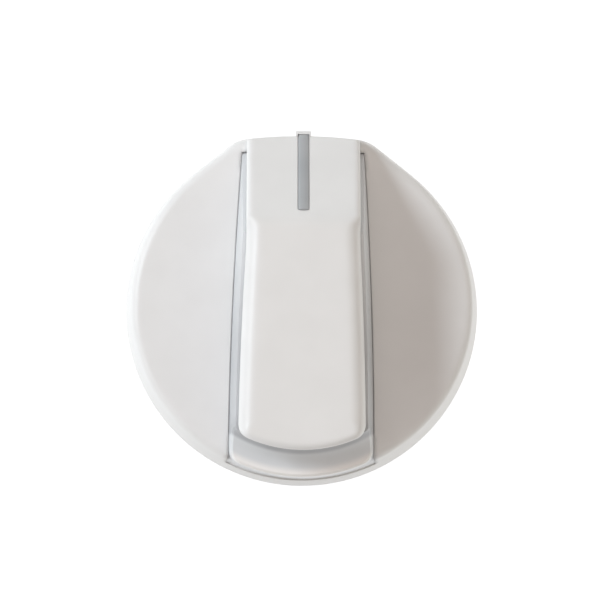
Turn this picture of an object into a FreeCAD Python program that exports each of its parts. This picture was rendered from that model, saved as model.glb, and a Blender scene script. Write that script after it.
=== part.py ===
import FreeCAD, Part
import math
import os
from FreeCAD import Vector

os.makedirs("parts", exist_ok=True)

# Skirt: the round moulding that faces the appliance panel. Millimetres and degrees.
skirt_dia = 45.0
wing_height = 6.5
rim_draft = 9.0
rim_edge_radius = 1.0
rim_wall = 2.0
wing_wall = 1.8
shoulder_angle = 38.5
end_beyond = 0.1
end_bow_radius = 60.0
end_corner_radius = 4.5

# Grip: a tongue that climbs from the pointer end and runs level to the nose.
grip_height = 18.5
grip_thickness = 3.0
ramp_run = 13.3
foot_height = 7.6
bend_radius = 2.5
tongue_half = 7.03
flare_end = 0.15
flare_mid = 0.53
flare_nose = 0.79
waist_drop = 2.8
waist_radius = 35.0
nose_setback = 2.85
nose_radius = 16.7
nose_upright = 0.3
nose_lean = 10.0
side_edge_radius = 1.9
corner_margin = 0.15
ramp_edge_radius = 0.7

# Pocket in the skirt that takes the grey core: a dovetail, open at the rim under the nose.
pocket_floor = 3.5
strip_end = 0.72
strip_mid = 1.69
strip_nose = 2.1
end_wall = 3.1
pocket_chamfer = 0.12

# Core: the insert that shows as side strips and as the scooped nose.
core_gap = 0.04
core_draft = 6.0
core_setback = 0.75
core_front_radius = 19.5
core_corner_radius = 1.9
core_wall = 1.5
plug_inset = 0.15
lip_height = 9.3
lip_width = 0.3
lip_chamfer = 0.25
scoop_radius = 3.0
seam = 0.2

# Hub for a shaft with one flat, and the leaf spring that presses on the flat.
shaft_dia = 6.0
shaft_play = 0.1
socket_play = 0.04
shaft_flat = 1.6
hub_dia = 11.0
hub_mouth = 0.5
hub_chamfer = 0.4
round_depth = 5.5
lead_taper = 0.7
socket_roof = 1.5
spring_thickness = 0.4
spring_width = 3.0
spring_slot = 2.0
spring_bow = 0.35
spring_play = 0.1

# Pointer: a narrow bar let into the ramp, stopped by a small nib on the end face.
pointer_width = 1.35
pointer_start = 1.35
pointer_depth = 0.9
pointer_proud = 0.2
pointer_play = 0.05
pointer_corner_radius = 0.3
pointer_crown_radius = 1.6
pointer_beyond = 0.2
nib_width = 1.9
nib_wall = 0.4

# Back: floor under the pocket, rib plates under the wings.
floor_wall = 1.8
rib_thickness = 1.2
rib_angle = 35.0
rib_recess = 1.0

skirt_radius = skirt_dia / 2
rim_lean = math.tan(math.radians(rim_draft))
core_lean = math.tan(math.radians(core_draft))
far = 2 * skirt_dia

# Stations along the grip, from the pointer end to the nose.
end_reach = skirt_radius + end_beyond
bend_y = end_reach - ramp_run
waist_y = bend_y - waist_drop
pocket_end_y = end_reach - end_wall
core_front_y = core_setback - skirt_radius
nose_y = core_front_y + nose_setback
half_nose = tongue_half + flare_nose
nose_corner_radius = side_edge_radius + corner_margin
nose_side_y = nose_y + nose_radius - math.sqrt(nose_radius ** 2 - half_nose ** 2)
ramp = math.atan2(grip_height - foot_height, ramp_run)
hub_top = grip_height - grip_thickness - socket_roof


def line(a, b):
    return Part.LineSegment(a, b).toShape()


def arc(a, b, c):
    return Part.Arc(a, b, c).toShape()


def box(x0, x1, y0, y1, z0, z1):
    return Part.makeBox(x1 - x0, y1 - y0, z1 - z0, Vector(x0, y0, z0))


def across(points):
    """Straight-sided profile in the YZ plane, carried across the whole width."""
    ring = [Vector(-far, y, z) for y, z in points]
    return Part.Face(Part.makePolygon(ring + ring[:1])).extrude(Vector(2 * far, 0, 0))


def plane_face(*points):
    return Part.Face(Part.makePolygon(list(points) + [points[0]]))


def skirt_block(inset, height):
    """Leaning wall: a cone for most of the way round, two flat shoulders and a slightly bowed end."""
    low = skirt_radius - inset
    high = low - height * rim_lean
    turn = math.radians(shoulder_angle)
    sweep = 360 - 2 * shoulder_angle
    section = plane_face(Vector(0, 0, 0), Vector(low, 0, 0), Vector(high, 0, height), Vector(0, 0, height))
    section.rotate(Vector(0, 0, 0), Vector(0, 0, 1), 90 - shoulder_angle)
    block = section.revolve(Vector(0, 0, 0), Vector(0, 0, -1), sweep)
    rings = []
    for r, z in ((low, 0), (high, height)):
        x, y = r * math.sin(turn), r * math.cos(turn)
        rings.append([Vector(0, 0, z), Vector(x, y, z), Vector(0, r / math.cos(turn), z), Vector(-x, y, z)])
    lower, upper = rings
    faces = [plane_face(*lower), plane_face(*upper)]
    for i in range(4):
        j = (i + 1) % 4
        faces.append(plane_face(lower[i], lower[j], upper[j], upper[i]))
    wedge = Part.makeSolid(Part.makeShell(faces))
    bow = end_bow_radius - inset
    end_cone = Part.makeCone(bow, bow - height * rim_lean, height, Vector(0, end_reach - end_bow_radius, 0))
    block = block.fuse(wedge.common(end_cone)).removeSplitter()
    corners = [
        e for e in block.Edges
        if abs(e.BoundBox.ZLength - height) < 0.1
        and abs(e.CenterOfMass.x) < 0.97 * e.CenterOfMass.y * math.tan(turn)
    ]
    return block.makeFillet(end_corner_radius - inset, corners)


def circle_through(a, b, c):
    """Centre and radius of the circle through three plan points."""
    circle = arc(a, b, c).Curve
    return circle.Center, circle.Radius


def soft_corner(start, corner, through, stop, radius):
    """Start, middle and end of the arc that eases a straight line into an outward bow."""
    centre, bow_radius = circle_through(corner, through, stop)
    along = (corner - start).normalize()
    outward = Vector(-along.y, along.x, 0)
    offset = start + outward * radius
    w = offset - centre
    reach = bow_radius + radius
    t = -w.dot(along) - math.sqrt(w.dot(along) ** 2 - w.dot(w) + reach ** 2)
    pivot = offset + along * t
    first = pivot - outward * radius
    last = centre + (pivot - centre) * (bow_radius / reach)
    middle = pivot + ((first + last) / 2 - pivot).normalize() * radius
    return first, middle, last


# Bowed flank of the pocket at wing height; the tongue's half width plus a strip at three stations.
flank_centre, flank_radius = circle_through(
    Vector(tongue_half + strip_end, pocket_end_y, 0),
    Vector(tongue_half + strip_mid, (pocket_end_y + nose_side_y) / 2, 0),
    Vector(tongue_half + strip_nose, nose_side_y, 0),
)


def flank(y, grow):
    """Half width of the pocket at a station, moved outwards by a distance."""
    r = flank_radius + grow
    return flank_centre.x + math.sqrt(r ** 2 - (y - flank_centre.y) ** 2)


def splay(z):
    """How far the dovetail's leaning flank stands outside its line at wing height."""
    return (wing_height - z) * core_lean


def between_flanks(z0, grow0, z1, grow1):
    """Block between bowed flanks that lean from one height to another: the overlap of two large cones."""
    low = flank_radius + grow0
    high = flank_radius + grow1
    left = Part.makeCone(low, high, z1 - z0, Vector(-flank_centre.x, flank_centre.y, z0))
    right = left.mirror(Vector(0, 0, 0), Vector(1, 0, 0))
    return left.common(right)


def ramp_box(half_width, v0, v1, w0, w1, corner=0, crown=0):
    """Bar laid on the ramp: v runs down the slope from the bend, w stands off the surface."""
    shape = box(-half_width, half_width, v0, v1, w0, w1)
    if corner:
        starts = [e for e in shape.Edges if e.BoundBox.YMax < v0 + 1e-6 and e.BoundBox.XLength < 1e-6]
        shape = shape.makeFillet(corner, starts)
    if crown:
        shape = shape.common(Part.makeCylinder(crown, far, Vector(0, v0 - 1, w1 - crown), Vector(0, 1, 0)))
    shape.rotate(Vector(0, 0, 0), Vector(1, 0, 0), -math.degrees(ramp))
    shape.translate(Vector(0, bend_y, grip_height))
    return shape


def below_grip(drop):
    """Everything lower than the grip's top surface moved inwards by a distance."""
    level = grip_height - drop
    bend = bend_y - drop * math.tan(ramp / 2)
    run = far - bend
    foot = level - run * math.tan(ramp)
    return across([(-far, -far), (-far, level), (bend, level), (far, foot), (far, -far)])


# Tall wall that the skirt and the pointer end of the grip are both cut from.
wall_height = grip_height
outer = skirt_block(0, wall_height)

# Grip tongue: plan outline between the top surface and the same surface one thickness lower.
# Its side is straight along the ramp, has a soft waist below the bend, then bows out to the nose.
end = Vector(tongue_half + flare_end, end_reach + 1, 0)
waist = Vector(tongue_half, waist_y, 0)
bow = Vector(tongue_half + flare_mid, (waist_y + nose_side_y) / 2, 0)
nose_side = Vector(half_nose, nose_side_y, 0)
waist_in, waist_mid, waist_out = soft_corner(end, waist, bow, nose_side, waist_radius)
right_side = [line(end, waist_in), arc(waist_in, waist_mid, waist_out), arc(waist_out, bow, nose_side)]
left_side = [e.mirror(Vector(0, 0, 0), Vector(1, 0, 0)) for e in right_side]
nose = arc(nose_side, Vector(0, nose_y, 0), Vector(-half_nose, nose_side_y, 0))
plan = Part.Wire(Part.__sortEdges__(right_side + left_side + [nose, line(Vector(-end.x, end.y, 0), end)]))
tongue = Part.Face(plan).extrude(Vector(0, 0, grip_height + 1))
uprights = [
    e for e in tongue.Edges
    if e.BoundBox.ZLength > grip_height and abs(e.CenterOfMass.y - nose_side_y) < 1e-3
]
tongue = tongue.makeFillet(nose_corner_radius, uprights)
slab = below_grip(0)
crest = [
    e for e in slab.Edges
    if e.BoundBox.XLength > far and abs(e.CenterOfMass.y - bend_y) < 0.1
]
slab = slab.makeFillet(bend_radius, crest)
tongue = tongue.common(slab).cut(below_grip(grip_thickness)).common(outer)


def top_edge(e):
    """Edges where the grip's top surface meets its sides."""
    mid = e.valueAt((e.FirstParameter + e.LastParameter) / 2)
    depth = below_grip(0.3).distToShape(Part.Vertex(mid))[0]
    return depth > 0.1


def rounded(shape, radii):
    """Round listed edges together; each entry is an edge number and a radius at either end."""
    doc = FreeCAD.newDocument()
    base = doc.addObject("Part::Feature", "Base")
    base.Shape = shape
    fillet = doc.addObject("Part::Fillet", "Rounded")
    fillet.Base = base
    fillet.Edges = radii
    doc.recompute()
    result = fillet.Shape.copy()
    FreeCAD.closeDocument(doc.Name)
    return result


def edge_radius(point):
    """Broad rounding along the level sides, a crisp edge on the ramp and round the nose."""
    on_side = bend_y - 0.5 > point.y > nose_side_y + 1.0 and abs(point.x) > tongue_half - 0.3
    return side_edge_radius if on_side else ramp_edge_radius


steady = []
changing = []
for number, e in enumerate(tongue.Edges, 1):
    if not top_edge(e):
        continue
    runs_along = e.BoundBox.XLength < e.BoundBox.YLength
    if runs_along or e.CenterOfMass.y < 0:
        ends = (e.valueAt(e.FirstParameter), e.valueAt(e.LastParameter))
        first, last = [edge_radius(p) for p in ends]
        if first == last:
            steady.append((number, first, last))
        else:
            changing.append((number, first, last))
tongue = rounded(tongue, changing + steady)

# Below its rounded edge the nose leans back, which leaves a shadow gap above the core.
lean_low = grip_height - 2 * grip_thickness
lean_top = grip_height - ramp_edge_radius - nose_upright
lean_back = (lean_top - lean_low) * math.tan(math.radians(nose_lean))
leaning = Part.makeCone(
    nose_radius - lean_back, nose_radius, lean_top - lean_low, Vector(0, nose_y + nose_radius, lean_low)
)
tongue = tongue.cut(box(-far, far, -far, nose_side_y + nose_corner_radius, lean_low, lean_top).cut(leaning))


def round_rimmed(inset):
    """Skirt block cut off at the wings, with its upper rim rounded."""
    top = wing_height - inset
    block = skirt_block(inset, wall_height).common(box(-far, far, -far, far, 0, top))
    return block.makeFillet(rim_edge_radius, [e for e in block.Edges if e.BoundBox.ZMin > top - 1e-6])


# Skirt before the pocket and the hollow back.
skirt = round_rimmed(0)

# Dovetail pocket for the core, with a bevelled mouth; it opens through the rim under the nose.
pocket_top = 2 * wing_height
pocket = between_flanks(pocket_floor, splay(pocket_floor), pocket_top, splay(pocket_top))
bevel_low = wing_height - pocket_chamfer
bevel_high = wing_height + pocket_chamfer
bevel = between_flanks(bevel_low, splay(bevel_low), bevel_high, 2 * pocket_chamfer)
pocket_room = box(-far, far, -far / 3, pocket_end_y, 0, far)
pocket = pocket.fuse(bevel).common(pocket_room)

# Hollow back: deep under the wings, shallow under the pocket floor, with ribs out from the hub.
floor_z = pocket_floor - floor_wall
stations = (pocket_end_y + wing_wall, 0, -far / 3)
right = [Vector(flank(y, splay(pocket_floor) + wing_wall), y, floor_z) for y in stations]
left = [Vector(-p.x, p.y, floor_z) for p in right]
band = Part.Wire([
    arc(right[0], right[1], right[2]),
    line(right[2], left[2]),
    arc(left[2], left[1], left[0]),
    line(left[0], right[0]),
])
band = Part.Face(band).extrude(Vector(0, 0, wing_height))
hollow = skirt_block(rim_wall, wing_height - wing_wall).cut(band)
hub_radius = hub_dia / 2
hub = Part.makeCylinder(hub_radius, grip_height - grip_thickness + 0.5 - hub_mouth, Vector(0, 0, hub_mouth))
rib_room = skirt_block(rim_wall / 2, wing_height - wing_wall / 2)
ribs = []
for turn in (rib_angle, -rib_angle, 180 - rib_angle, 180 + rib_angle):
    rib = box(0, far, -rib_thickness / 2, rib_thickness / 2, rib_recess, wing_height)
    rib.rotate(Vector(0, 0, 0), Vector(0, 0, 1), turn)
    ribs.append(rib.common(rib_room).cut(band))

# Nib outside the end wall, level with the pointer's surface; it frames the pointer's end.
end_v = (end_reach - bend_y) / math.cos(ramp)
groove_end = pointer_beyond + pointer_play
nib = skirt_block(-groove_end - nib_wall, wall_height).cut(outer)
nib = nib.common(ramp_box(nib_width / 2, end_v - 4, end_v + 1, -grip_thickness, pointer_proud))

# Shaft socket: a round lead-in that tapers to a closer socket with a flat and a slot for the spring.
bore_radius = (shaft_dia + shaft_play) / 2
socket_radius = (shaft_dia + socket_play) / 2
flat_start = hub_mouth + round_depth
taper_start = flat_start - lead_taper
lead_in = Part.makeCylinder(bore_radius, taper_start)
taper = Part.makeCone(bore_radius, socket_radius, lead_taper, Vector(0, 0, taper_start))
bore = Part.makeCylinder(socket_radius, hub_top - flat_start, Vector(0, 0, flat_start))
flare = 2 * hub_chamfer
mouth_cone = Part.makeCone(bore_radius + flare, bore_radius, flare, Vector(0, 0, hub_mouth - hub_chamfer))
flat = box(-bore_radius, bore_radius, shaft_flat + shaft_play, far, flat_start, hub_top)
slot_half = spring_width / 2 + spring_play
slot_back = shaft_flat + spring_slot
slot = box(-slot_half, slot_half, 0, slot_back, flat_start, hub_top)
socket = bore.cut(flat).fuse([lead_in, taper, slot, mouth_cone])

pointer_v = pointer_start / math.cos(ramp)
groove = ramp_box(
    pointer_width / 2 + pointer_play, pointer_v - pointer_play, end_v + 1, -pointer_depth, grip_thickness,
    corner=pointer_corner_radius + pointer_play,
).common(skirt_block(-groove_end, wall_height))

knob_body = skirt.cut(pocket).cut(hollow)
knob_body = knob_body.fuse([tongue, hub, nib] + ribs).cut(groove).cut(socket)
knob_body.exportStep("parts/knob_body.step")

# Grey core: a U-shaped insert that slides in from the nose, round the hub and under the grip.
# Its foot fills the pocket out to the rim; above the wings its front is bowed, with soft corners.
core_top = grip_height - grip_thickness
front_centre_y = core_front_y + core_front_radius
beyond_front = box(-far, far, -far, front_centre_y, 0, far)
beyond_front = beyond_front.cut(Part.makeCylinder(core_front_radius, far, Vector(0, front_centre_y, 0)))
blank = between_flanks(pocket_floor, splay(pocket_floor) - core_gap, core_top, splay(core_top) - core_gap)
blank = blank.common(box(-far, far, -far, pocket_end_y - core_gap, 0, far))
grip_core = blank.cut(beyond_front)
front = [
    e for e in grip_core.Edges
    if e.BoundBox.ZLength > core_top - pocket_floor - 0.1 and e.CenterOfMass.y < 0
]
grip_core = grip_core.makeFillet(core_corner_radius, front)
foot = blank.common(round_rimmed(plug_inset)).common(box(-far, far, -far, nose_side_y, 0, far))

# Scoop: a round hollow swept along the front, under the grip's nose.
scoop_rise = lip_height + scoop_radius
scoop_out = core_front_radius - lip_width
scoop_back = scoop_out - scoop_radius
dip = Vector(math.cos(math.radians(45)), 0, math.sin(math.radians(45))) * scoop_radius


def from_front(r, z):
    """Point of the scoop's section: distance from the axis of the bowed front, and height."""
    return Vector(r, front_centre_y, z)


scoop = Part.Face(Part.Wire([
    arc(
        from_front(scoop_out, lip_height),
        from_front(scoop_out, scoop_rise) - dip,
        from_front(scoop_back, scoop_rise),
    ),
    line(from_front(scoop_back, scoop_rise), from_front(scoop_back, far)),
    line(from_front(scoop_back, far), from_front(far, far)),
    line(from_front(far, far), from_front(far, lip_height)),
    line(from_front(far, lip_height), from_front(scoop_out, lip_height)),
])).revolve(Vector(0, front_centre_y, 0), Vector(0, 0, -1), 180)
back_y = front_centre_y - scoop_back + core_wall
inner_nose = flank(back_y, -core_gap) - 2 * core_wall
inner_end = flank(pocket_end_y, -core_gap) - core_wall
inner = [(inner_nose, back_y), (inner_end, far), (-inner_end, far), (-inner_nose, back_y)]
ring = [Vector(x, y, 0) for x, y in inner]
hollow = Part.Face(Part.makePolygon(ring + ring[:1])).extrude(Vector(0, 0, far))
whole = grip_core.common(below_grip(grip_thickness + seam))
grip_core = whole.cut(scoop)


def lip_edge(e):
    """Edges where the scoop breaks out through the front and the flanks."""
    mid = e.valueAt((e.FirstParameter + e.LastParameter) / 2)
    ahead = mid.y < front_centre_y and math.hypot(mid.x, mid.y - front_centre_y) > scoop_back - 0.05
    between = lip_height - 0.01 < mid.z < core_top - seam - 0.01
    return ahead and between and whole.Shells[0].distToShape(Part.Vertex(mid))[0] < 1e-4


grip_core = grip_core.makeChamfer(lip_chamfer, [e for e in grip_core.Edges if lip_edge(e)])
grip_core = grip_core.fuse(foot).removeSplitter().cut(hollow)
grip_core.exportStep("parts/grip_core.step")

# Pointer bar with a crowned top, resting on the bottom of its groove.
pointer = ramp_box(
    pointer_width / 2, pointer_v, end_v + 1, -pointer_depth, pointer_proud,
    corner=pointer_corner_radius, crown=pointer_crown_radius,
)
pointer = pointer.common(skirt_block(-pointer_beyond, wall_height))
pointer.exportStep("parts/pointer.step")

# Leaf spring: a hairpin strip standing on the ledge of its slot, the free leg bowed to the flat.
half = spring_thickness / 2
back_leg = slot_back - spring_play - half
front_leg = shaft_flat + spring_play + half + spring_bow / 2
loop = (back_leg - front_leg) / 2
middle = (back_leg + front_leg) / 2
loop_z = hub_top - 0.5 - loop - half
bow_z = (flat_start + loop_z) / 2


def yz(y, z):
    return Vector(-spring_width / 2, y, z)


outside, inside = back_leg + half, back_leg - half
inner_leg, outer_leg = front_leg + half, front_leg - half
spring = Part.Wire([
    line(yz(outside, flat_start), yz(outside, loop_z)),
    arc(yz(outside, loop_z), yz(middle, loop_z + loop + half), yz(outer_leg, loop_z)),
    arc(yz(outer_leg, loop_z), yz(outer_leg - spring_bow, bow_z), yz(outer_leg, flat_start)),
    line(yz(outer_leg, flat_start), yz(inner_leg, flat_start)),
    arc(yz(inner_leg, flat_start), yz(inner_leg - spring_bow, bow_z), yz(inner_leg, loop_z)),
    arc(yz(inner_leg, loop_z), yz(middle, loop_z + loop - half), yz(inside, loop_z)),
    line(yz(inside, loop_z), yz(inside, flat_start)),
    line(yz(inside, flat_start), yz(outside, flat_start)),
])
shaft_spring = Part.Face(spring).extrude(Vector(spring_width, 0, 0))
shaft_spring.exportStep("parts/shaft_spring.step")

for name, shape in (
    ("knob_body", knob_body),
    ("grip_core", grip_core),
    ("pointer", pointer),
    ("shaft_spring", shaft_spring),
):
    size = shape.BoundBox
    print(name, len(shape.Solids), shape.isValid(), round(shape.Volume, 1), "mm3", size)
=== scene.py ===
# %% [markdown]
# # A white oven control knob
#
# A cooker knob is a small moulded assembly: a white body with a round skirt and a tongue-shaped grip, a
# light grey insert that shows as two narrow strips and a scooped nose, a grey pointer bar on the ramp, and
# a leaf spring in the socket at the back. The solids come in at their real size, in metres, standing on
# the floor. This lesson gives them their finishes, light that shows them, and a camera above them.

# %% Load the knob
import math

import bpy
from mathutils import Euler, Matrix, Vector

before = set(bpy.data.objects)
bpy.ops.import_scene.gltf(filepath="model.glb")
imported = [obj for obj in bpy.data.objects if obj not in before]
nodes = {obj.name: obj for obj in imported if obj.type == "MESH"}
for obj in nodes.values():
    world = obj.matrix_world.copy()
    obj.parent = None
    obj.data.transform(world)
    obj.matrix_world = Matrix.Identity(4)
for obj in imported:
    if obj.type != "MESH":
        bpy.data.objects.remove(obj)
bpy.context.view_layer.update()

mm = 0.001
print("pieces:", sorted(nodes))

# %% [markdown]
# ## Sums with sockets
#
# A finish is a small formula: take the place on the surface, turn it into noise, mix two tones with it.
# Wiring each Math node by hand hides that formula. Here one class wraps a socket, so that `1 - mask` or
# `0.4 + 0.1 * cloud` in Python adds the Math nodes, and one method makes every other kind of node: its
# settings are set first, because some of them change which sockets the node has.


# %% A bench for building node trees
class Value:
    """A socket that can be used in sums."""

    def __init__(self, bench, socket):
        self.bench = bench
        self.socket = socket

    def sum(self, operation, a, b):
        return self.bench.node("ShaderNodeMath", {"operation": operation}, {0: a, 1: b})

    def __add__(self, other):
        return self.sum("ADD", self, other)

    def __radd__(self, other):
        return self.sum("ADD", other, self)

    def __sub__(self, other):
        return self.sum("SUBTRACT", self, other)

    def __rsub__(self, other):
        return self.sum("SUBTRACT", other, self)

    def __mul__(self, other):
        return self.sum("MULTIPLY", self, other)

    def __rmul__(self, other):
        return self.sum("MULTIPLY", other, self)


class Bench:
    """One node tree under construction."""

    def __init__(self, tree):
        self.tree = tree
        tree.nodes.clear()

    def node(self, kind, settings=None, sockets=None, out=0):
        made = self.tree.nodes.new(kind)
        for name, value in (settings or {}).items():
            setattr(made, name, value)
        for name, value in (sockets or {}).items():
            if isinstance(value, Value):
                self.tree.links.new(value.socket, made.inputs[name])
            else:
                made.inputs[name].default_value = value
        return Value(self, made.outputs[out]) if len(made.outputs) else made


def new_finish(name):
    material = bpy.data.materials.new(name)
    material.use_nodes = True
    return material, Bench(material.node_tree)


print("bench ready")

# %% [markdown]
# ## Places and patterns
#
# The node objects sit at the origin, so object coordinates are places in the knob's own frame, in metres.
# Moulding grain is a fraction of a millimetre, so the coordinates are scaled to millimetres first and every
# noise scale below reads as "features per millimetre". A soft step turns a number into a mask.


# %% Places, noise and masks
def place_mm(bench):
    where = bench.node("ShaderNodeTexCoord", out="Object")
    return bench.node("ShaderNodeVectorMath", {"operation": "SCALE"}, {0: where, "Scale": 1 / mm})


def coordinate(bench, vector, name):
    return bench.node("ShaderNodeSeparateXYZ", None, {0: vector}, out=name)


def stretch(bench, place, factors):
    return bench.node("ShaderNodeVectorMath", {"operation": "MULTIPLY"}, {0: place, 1: factors})


def noise(bench, place, per_mm, detail=2.0):
    return bench.node("ShaderNodeTexNoise", None, {"Vector": place, "Scale": per_mm, "Detail": detail})


def soft_step(bench, value, low, high):
    """0 below low, 1 above high, smooth between; low may be the larger one."""
    limits = {"Value": value, "From Min": low, "From Max": high}
    return bench.node("ShaderNodeMapRange", {"interpolation_type": "SMOOTHSTEP"}, limits)


def as_tone(colour):
    return colour if isinstance(colour, Value) else (*colour, 1)


def mix_tones(bench, factor, first, second):
    tones = {0: factor, 6: as_tone(first), 7: as_tone(second)}
    return bench.node("ShaderNodeMix", {"data_type": "RGBA"}, tones, out=2)


print("pattern helpers ready")

# %% [markdown]
# ## Satin plastic
#
# All three plastics of the knob are moulded against steel that was blasted to a very fine grain. Seen from
# a step away that grain only takes the sharpness off reflections; close up it is a soft orange-peel. Two
# scales do this: slow clouds that change tone and gloss by a few hundredths, as the flow of the melt does,
# and a fine grain that only feeds a bump. A bevel node in front of the bump rounds the normals at crisp
# mould edges, where a real edge always catches a thin line of light. What one plastic has of its own comes
# from a function that each finish hands to the recipe.


# %% One recipe for the plastics
cloud_per_mm = 0.16
grain_per_mm = 5.0
gloss_drift = 0.1
crisp_radius = 0.08


def rounded_edge(bench, radius):
    return bench.node("ShaderNodeBevel", {"samples": 8}, {"Radius": radius * mm})


def surface(bench, look):
    shader = bench.node("ShaderNodeBsdfPrincipled", None, look)
    bench.node("ShaderNodeOutputMaterial", None, {"Surface": shader})


def satin(bench, deep, pale, gloss, grain_depth, own_detail, edge=None):
    place = place_mm(bench)
    cloud = noise(bench, place, cloud_per_mm)
    height = noise(bench, place, grain_per_mm, detail=3.0)
    tone = mix_tones(bench, soft_step(bench, cloud, 0.3, 0.7), deep, pale)
    roughness = gloss + gloss_drift * (cloud - 0.5)
    tone, roughness, height = own_detail(bench, place, tone, roughness, height)
    edge = edge or rounded_edge(bench, crisp_radius)
    bump = {"Height": height, "Distance": grain_depth * mm, "Strength": 1.0, "Normal": edge}
    normal = bench.node("ShaderNodeBump", None, bump)
    surface(bench, {"Base Color": tone, "Roughness": roughness, "Normal": normal})


def dress(name, finish):
    slots = nodes[name].data.materials
    slots.clear()
    slots.append(finish)
    print(f"{name}: {finish.name}, {len(finish.node_tree.nodes)} nodes")


print("satin recipe ready, grain per mm:", grain_per_mm)

# %% [markdown]
# ## White body
#
# The body is one white moulding, bright and very slightly warm. Its outside is satin, while the hollow back
# is left as the tool's coarse eroded finish, which nobody sees once the knob is on its shaft. A mask from
# the surface normal tells the two apart: everything that looks down belongs to the back.


# %% Coarse back
def coarse_back(bench, place, tone, roughness, height):
    normal = bench.node("ShaderNodeNewGeometry", out="True Normal")
    back = soft_step(bench, coordinate(bench, normal, "Z"), -0.3, -0.6)
    eroded = noise(bench, place, 2.5, detail=4.0)
    return tone, roughness + 0.22 * back, height + 3.0 * back * eroded


print("coarse back ready")

# %% [markdown]
# ## Eased edges
#
# The rim and the edges of the grip were eased by hand on the tool, so that their rounding fades into the
# flats with no line. A second, broad bevel node does that, and a mask keeps it to the rim and the grip,
# away from the pointer's groove, where edges are crisp.

# %% Eased edges and the white finish
# Each pair gives where a mask starts and where it is full, in millimetres.
eased_radius = 0.9
rim_radii = (18.5, 19.5)
grip_heights = (6.8, 7.6)
groove_halves = (2.6, 1.6)
groove_ys = (5.0, 7.0)


def squares(pair):
    return [value ** 2 for value in pair]


def eased_edges(bench):
    place = place_mm(bench)
    x, y, z = [coordinate(bench, place, name) for name in "XYZ"]
    rim = soft_step(bench, x * x + y * y, *squares(rim_radii))
    grip = soft_step(bench, z, *grip_heights)
    groove = soft_step(bench, x * x, *squares(groove_halves)) * soft_step(bench, y, *groove_ys)
    eased = (rim + grip) * (1 - groove)
    both = {0: eased, 4: rounded_edge(bench, crisp_radius), 5: rounded_edge(bench, eased_radius)}
    return bench.node("ShaderNodeMix", {"data_type": "VECTOR"}, both, out=1)


white, bench = new_finish("satin_white_plastic")
satin(
    bench,
    deep=(0.800, 0.798, 0.790),
    pale=(0.822, 0.820, 0.813),
    gloss=0.42,
    grain_depth=0.004,
    own_detail=coarse_back,
    edge=eased_edges(bench),
)
dress("knob_body", white)

# %% [markdown]
# ## Grey insert
#
# The insert that slides in under the grip is a cool light grey, a little shinier than the body because its
# flanks draw along the tool. Only narrow strips and the scooped nose of it show. A painted highlight makes
# the edge of the nose's lip pale, and painted shade darkens the gap under the grip and the strips beside
# it.
# The nose is bowed, so its masks measure how far a point lies behind the bowed front: the lip is within a
# millimetre of it, the gap two and a half behind it. Along the strips the painted shade grows towards the
# nose.

# %% Behind the bowed front
front_axis = (0, -2.25, 0)
front_radius = 19.5


def behind_front(bench, place):
    ends = {0: stretch(bench, place, (1, 1, 0)), 1: front_axis}
    return front_radius - bench.node("ShaderNodeVectorMath", {"operation": "DISTANCE"}, ends, out=1)


print("bowed front ends at y =", front_axis[1] - front_radius, "mm")

# %% Grey insert finish
# Here too each pair gives where a mask starts and where it is full, in millimetres.
nose_ys = (-14.0, -16.0)
lip_depths = (1.3, 0.3)
lip_heights = (7.6, 9.1)
gap_depths = (2.5, 3.0)
strip_ys = (8.0, -8.0)
# Painted highlight tone for the lip's edge, then painted shade tone for the gap and the strips.
painted_highlight_tone = (0.90, 0.88, 0.855)
painted_shade_tone = (0.30, 0.31, 0.33)


# Paints a highlight on the edge of the nose's lip, and shade in the gap under the grip and along the
# strips, darker towards the nose.
def painted_lip_highlight_and_shade(bench, place, tone, roughness, height):
    depth = behind_front(bench, place)
    y = coordinate(bench, place, "Y")
    nose = soft_step(bench, y, *nose_ys)
    lip_highlight = nose * soft_step(bench, depth, *lip_depths)
    lip_highlight = lip_highlight * soft_step(bench, coordinate(bench, place, "Z"), *lip_heights)
    shade_under_grip = nose * soft_step(bench, depth, *gap_depths)
    strip_shade = (1 - nose) * soft_step(bench, y, *strip_ys)
    blotch = 0.7 + 0.2 * (noise(bench, place, 0.5) - 0.5)
    # Painted shade, mottled by noise: the gap under the grip and the strips.
    painted_shade = (0.85 * shade_under_grip + 0.6 * strip_shade) * blotch
    # The lip's edge gets a painted highlight, then the painted shade goes on top.
    tone = mix_tones(bench, 0.85 * lip_highlight, tone, painted_highlight_tone)
    tone = mix_tones(bench, painted_shade, tone, painted_shade_tone)
    return tone, roughness + 0.1 * painted_shade - 0.05 * lip_highlight, height


grey, bench = new_finish("satin_light_grey_plastic")
satin(
    bench,
    deep=(0.705, 0.720, 0.735),
    pale=(0.735, 0.750, 0.765),
    gloss=0.36,
    grain_depth=0.003,
    own_detail=painted_lip_highlight_and_shade,
)
dress("grip_core", grey)

# %% [markdown]
# ## Pointer bar
#
# The bar that points at the scale is a mid grey, pressed into its groove. It is drawn along its length, so
# its grain is stretched that way: the place is squeezed along the bar before it goes into the noise.


# %% Pointer finish
def drawn_along(bench, place, tone, roughness, height):
    streak = noise(bench, stretch(bench, place, (6.0, 0.35, 0.35)), 1.0, detail=3.0)
    return tone, roughness + 0.16 * (streak - 0.5), height + 1.5 * streak


dark, bench = new_finish("satin_mid_grey_plastic")
satin(
    bench,
    deep=(0.380, 0.397, 0.412),
    pale=(0.425, 0.440, 0.452),
    gloss=0.38,
    grain_depth=0.003,
    own_detail=drawn_along,
)
dress("pointer", dark)
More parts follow.
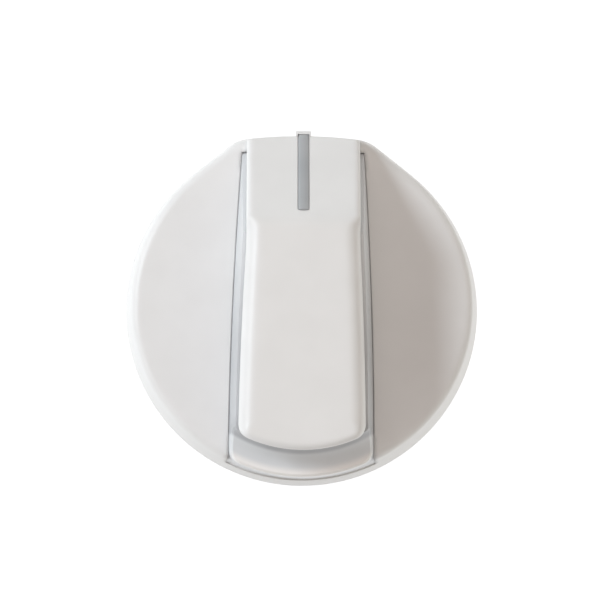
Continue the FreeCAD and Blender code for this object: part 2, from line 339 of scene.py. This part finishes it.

# %% [markdown]
# ## Leaf spring
#
# The spring is cold-rolled steel strip, seen only from the socket's mouth. Rolling leaves fine lines along
# the strip, so the metal's roughness and bump follow a noise that is stretched along Z, while the faint
# straw tint that the forming heat leaves follows a slow noise of its own.

# %% Spring steel finish
steel, bench = new_finish("rolled_spring_steel")
place = place_mm(bench)
rolling = noise(bench, stretch(bench, place, (9.0, 2.0, 0.25)), 1.0, detail=4.0)
heat = soft_step(bench, noise(bench, place, 0.4), 0.35, 0.75)
bare_steel = (0.60, 0.60, 0.61)
straw_tint = (0.63, 0.58, 0.50)
tone = mix_tones(bench, heat, bare_steel, straw_tint)
line_depth = 0.003
bump = {"Height": rolling, "Distance": line_depth * mm, "Strength": 1.0}
lines = bench.node("ShaderNodeBump", None, bump)
roughness = 0.24 + 0.16 * rolling
surface(bench, {"Base Color": tone, "Metallic": 1.0, "Roughness": roughness, "Normal": lines})
dress("shaft_spring", steel)

# %% [markdown]
# ## Light table
#
# The knob lies on a light table: a milky sheet that glows from below, the usual way to get a clean white
# ground with no shadow on it. A large disc does that, with nearly all of its white from emission and only
# a little from what falls on it. The sheet isn't part of the knob.

# %% Pale floor
floor_radius = 1.2
below_knob = (0, 0, -0.02 * mm)
bpy.ops.mesh.primitive_circle_add(vertices=96, radius=floor_radius, fill_type="NGON", location=below_knob)
floor = bpy.context.object
floor.name = "pale_floor"
sheet, bench = new_finish("lit_white_sheet")
paper = noise(bench, place_mm(bench), 0.05)
tone = mix_tones(bench, paper, (0.100, 0.100, 0.100), (0.105, 0.105, 0.105))
glow = {"Emission Color": (1, 1, 1, 1), "Emission Strength": 1.0}
surface(bench, {"Base Color": tone, "Roughness": 0.9, **glow})
floor.data.materials.append(sheet)
print("floor radius:", floor_radius, "m")

# %% [markdown]
# ## Room light
#
# Over the table hangs a warm pale cloth, and two wide white panels lean in from the left and the right,
# the left one brighter. The rest of the room is dim. That is a world whose colour depends on where a ray
# points: its height picks room, panels or cloth, and its side picks the panel. The left panel makes the key
# light softer, the right one fills the shadow side of the grip with a warm tone. A tone above one is
# brighter than the sheet below.

# %% Soft surroundings
world = bpy.data.worlds.new("cloth_and_panels")
world.use_nodes = True
bpy.context.scene.world = world
bench = Bench(world.node_tree)
direction = bench.node("ShaderNodeTexCoord", out="Generated")
right = coordinate(bench, direction, "X")
up = coordinate(bench, direction, "Z")
cloth = soft_step(bench, up, 0.85, 0.97)
left_band = soft_step(bench, up, 0.35, 0.55) * soft_step(bench, up, 0.8, 0.6)
left_panel = left_band * soft_step(bench, right, 0.0, -1.0)
right_panel = (soft_step(bench, up, 0.1, 0.3) - cloth) * soft_step(bench, right, 0.0, 1.0)
black = (0, 0, 0)
room_tone = (0.10, 0.10, 0.10)
sky = mix_tones(bench, soft_step(bench, up, 0.1, 0.45), room_tone, black)
for mask, tone in (
    (cloth, (1.28, 1.08, 1.03)),
    (left_panel, (2.66, 2.60, 2.54)),
    (right_panel, (0.98, 0.94, 0.84)),
):
    light = mix_tones(bench, mask, black, tone)
    sky = bench.node("ShaderNodeVectorMath", {"operation": "ADD"}, {0: sky, 1: light})
background = bench.node("ShaderNodeBackground", None, {"Color": sky, "Strength": 1.0})
bench.node("ShaderNodeOutputWorld", None, {"Surface": background})
print("surroundings:", len(world.node_tree.nodes), "nodes")

# %% [markdown]
# ## Key light
#
# One soft box stands at the upper left, about forty degrees up, so that the grip's shadow covers nearly the
# whole right wing. Its size sets how soft the end of that shadow is, and its slightly cool colour makes the
# shadow look warm beside it.

# %% Soft box
toward_light = Vector((-1.08, 0.42, 1.0)).normalized()
lamp_distance = 0.6
lamp = bpy.data.lights.new("soft_box", "AREA")
lamp.shape = "DISK"
lamp.size = 0.18
lamp.energy = 1.84
lamp.color = (0.852, 0.940, 1.0)
soft_box = bpy.data.objects.new("soft_box", lamp)
bpy.context.scene.collection.objects.link(soft_box)
soft_box.location = toward_light * lamp_distance
soft_box.rotation_euler = toward_light.to_track_quat("Z", "Y").to_euler()
print("key light at", [round(v, 3) for v in soft_box.location])

# %% [markdown]
# ## Camera
#
# The picture is taken from almost straight above, six degrees round towards the nose and half a degree
# towards the left, with a long lens from forty centimetres. Colours are shown as they are, with no film
# curve, so that white stays white.

# %% Camera above the knob
tilt = math.radians(6)
lean = math.radians(-0.5)
turn = math.radians(0.4)
reach = 400 * mm
aim = Vector((-0.23, 1.34, 0)) * mm
facing = Euler((tilt, lean, turn))
lens = bpy.data.cameras.new("camera")
lens.sensor_width = 36
lens.lens = 187
camera = bpy.data.objects.new("camera", lens)
bpy.context.scene.collection.objects.link(camera)
camera.rotation_euler = facing
camera.location = aim + facing.to_matrix() @ Vector((0, 0, reach))
lens.clip_start = 0.01
bpy.context.scene.camera = camera
bpy.context.scene.view_settings.view_transform = "Standard"
print("camera at", [round(v, 4) for v in camera.location])
